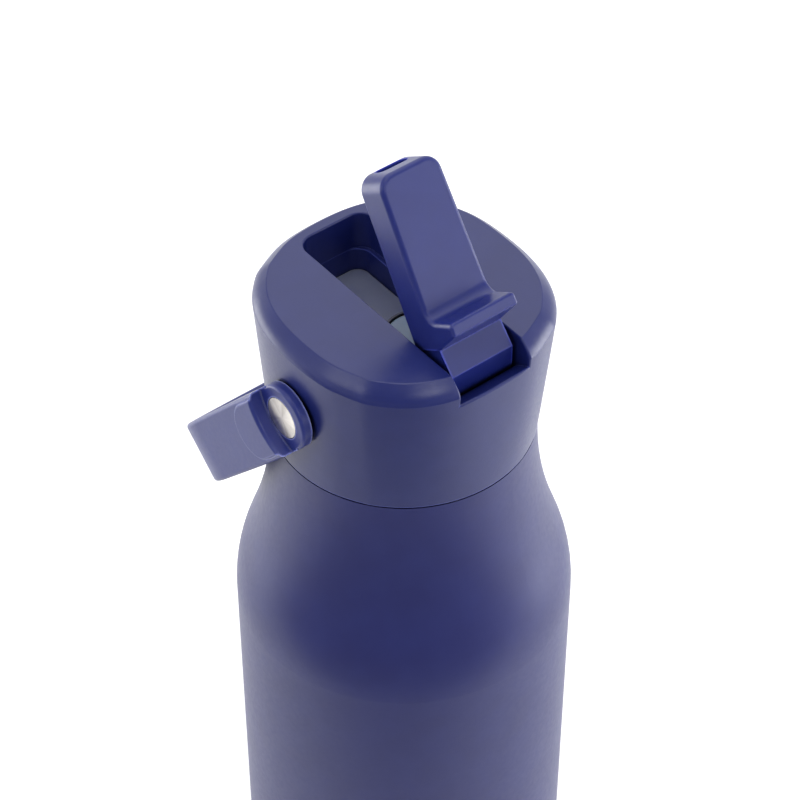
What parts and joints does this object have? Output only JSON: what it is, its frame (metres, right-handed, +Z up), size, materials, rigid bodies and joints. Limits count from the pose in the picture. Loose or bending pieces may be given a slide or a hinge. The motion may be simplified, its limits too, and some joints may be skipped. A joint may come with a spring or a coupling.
{
  "type": "insulated water bottle",
  "caption": "Insulated steel drinking bottle with a screw lid, flip-up straw spout and swinging carry handle.",
  "frame": {"origin": "centre of the standing face, on the bottle's axis", "axes": "+Z up along the bottle's axis, X along the spout's and handle's pivot pins, the spout hinge at -Y and the handle hanging at +Y"},
  "size_m": [0.073, 0.0802, 0.2732],
  "materials": {
    "powder_coat": "matte navy powder coat on stainless steel",
    "bare_steel": "satin spun stainless steel",
    "getter_alloy": "dull sintered alloy",
    "solder": "dull solder bead",
    "lid_plastic": "fine-grained navy polypropylene",
    "lid_plastic_dark": "dark navy polypropylene",
    "handle_plastic": "fine-grained navy polypropylene",
    "insert_plastic": "smooth grey polypropylene",
    "silicone": "soft translucent grey-blue silicone",
    "valve_silicone": "soft grey-blue silicone",
    "straw_plastic": "natural translucent polypropylene",
    "bush_plastic": "acetal bearing plastic",
    "pin_steel": "satin stainless steel"
  },
  "bodies": {
    "bottle": {"outer_shell": "powder_coat", "inner_liner": "bare_steel", "liner_bottom": "bare_steel", "base_cup": "bare_steel", "base_cover": "bare_steel", "getter": "getter_alloy", "vacuum_seal": "solder"},
    "gasket": {"lid_gasket": "silicone"},
    "lid": {"lid_shell": "lid_plastic", "lid_insert": "insert_plastic", "vent_valve": "valve_silicone", "valve_collar": "lid_plastic_dark", "spout_pin_left": "pin_steel", "spout_pin_right": "pin_steel", "port_seal": "silicone", "straw_adapter": "insert_plastic", "straw": "straw_plastic", "handle_pin_left": "pin_steel", "handle_pin_right": "pin_steel", "handle_bush_left": "bush_plastic", "handle_bush_right": "bush_plastic", "pin_retainer_left": "pin_steel", "pin_retainer_right": "pin_steel"},
    "spout": {"spout": "lid_plastic"},
    "handle": {"handle": "handle_plastic"}
  },
  "joints": [
    {"name": "lid_rise", "type": "slide", "parent": "bottle", "child": "gasket", "axis": [0, 0, 1], "range_m": [0, 0.0067]},
    {"name": "lid_turn", "type": "hinge", "parent": "gasket", "child": "lid", "pos_m": [0, 0, 0.2077], "axis": [0, 0, 1], "range_deg": [0, 480]},
    {"name": "spout_flip", "type": "hinge", "parent": "lid", "child": "spout", "pos_m": [0, -0.019, 0.2357], "axis": [1, 0, 0], "range_deg": [-56.3, 13.7]},
    {"name": "handle_swing", "type": "hinge", "parent": "lid", "child": "handle", "pos_m": [0, 0, 0.2246], "axis": [1, 0, 0], "range_deg": [0, 275]}
  ],
  "couplings": [
    {"joint": "lid_rise", "follows": "lid_turn", "m_per_rad": 0.00079577}
  ]
}
